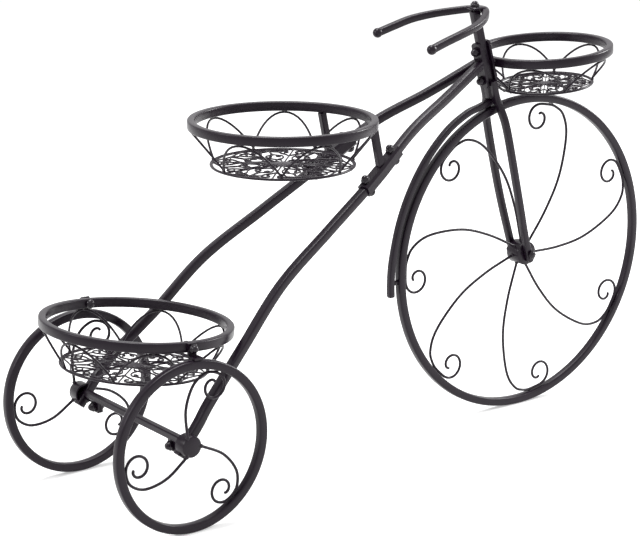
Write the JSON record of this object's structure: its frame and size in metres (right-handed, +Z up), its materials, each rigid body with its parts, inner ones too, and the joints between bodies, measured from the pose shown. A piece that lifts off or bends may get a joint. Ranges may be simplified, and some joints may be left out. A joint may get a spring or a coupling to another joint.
{
  "type": "bicycle planter",
  "caption": "Plant stand in the shape of a tricycle: a spoked front wheel, small rear wheels, a curved tube frame, a handlebar and round wire baskets for pots.",
  "frame": {"origin": "on the floor, under the middle of the bounding box", "axes": "+X towards the front wheel, +Y to the stand's left, +Z up"},
  "size_m": [0.8346, 0.2348, 0.4964],
  "materials": {
    "charcoal_coat": "fine-textured satin powder coat",
    "bolt_black": "satin black"
  },
  "bodies": {
    "root": {"fork_stem": "charcoal_coat", "front_axle_bolt": "bolt_black", "front_basket_arches": "charcoal_coat", "front_basket_bracket": "charcoal_coat", "front_basket_floor": "charcoal_coat", "front_basket_ring": "charcoal_coat", "front_basket_stay": "charcoal_coat", "front_wheel_hub": "charcoal_coat", "front_wheel_rim": "charcoal_coat", "front_wheel_spoke_1": "charcoal_coat", "front_wheel_spoke_2": "charcoal_coat", "front_wheel_spoke_3": "charcoal_coat", "front_wheel_spoke_4": "charcoal_coat", "front_wheel_spoke_5": "charcoal_coat", "front_wheel_spoke_6": "charcoal_coat", "front_wheel_spoke_7": "charcoal_coat", "handlebar": "charcoal_coat", "handlebar_bolt": "bolt_black", "head_bolt_1": "bolt_black", "head_bolt_2": "bolt_black", "head_plate": "charcoal_coat", "left_basket_bolt": "bolt_black", "left_basket_bracket": "charcoal_coat", "left_basket_strut": "charcoal_coat", "left_frame_sleeve": "charcoal_coat", "left_lower_frame_tube": "charcoal_coat", "left_lug_bolt": "bolt_black", "left_rear_axle_pin": "bolt_black", "left_rear_wheel_hub": "charcoal_coat", "left_rear_wheel_rim": "charcoal_coat", "left_rear_wheel_spoke_1": "charcoal_coat", "left_rear_wheel_spoke_2": "charcoal_coat", "left_rear_wheel_spoke_3": "charcoal_coat", "left_sleeve_bolt_1": "bolt_black", "left_sleeve_bolt_2": "bolt_black", "left_upper_frame_tube": "charcoal_coat", "middle_basket_arches": "charcoal_coat", "middle_basket_floor": "charcoal_coat", "middle_basket_ring": "charcoal_coat", "mudguard_bar": "charcoal_coat", "mudguard_spacer": "bolt_black", "rear_basket_arches": "charcoal_coat", "rear_basket_floor": "charcoal_coat", "rear_basket_ring": "charcoal_coat", "rear_cross_bar": "charcoal_coat", "right_basket_bolt": "bolt_black", "right_basket_bracket": "charcoal_coat", "right_basket_strut": "charcoal_coat", "right_frame_sleeve": "charcoal_coat", "right_lower_frame_tube": "charcoal_coat", "right_lug_bolt": "bolt_black", "right_rear_axle_pin": "bolt_black", "right_rear_wheel_hub": "charcoal_coat", "right_rear_wheel_rim": "charcoal_coat", "right_rear_wheel_spoke_1": "charcoal_coat", "right_rear_wheel_spoke_2": "charcoal_coat", "right_rear_wheel_spoke_3": "charcoal_coat", "right_sleeve_bolt_1": "bolt_black", "right_sleeve_bolt_2": "bolt_black", "right_upper_frame_tube": "charcoal_coat"}
  },
  "joints": []
}
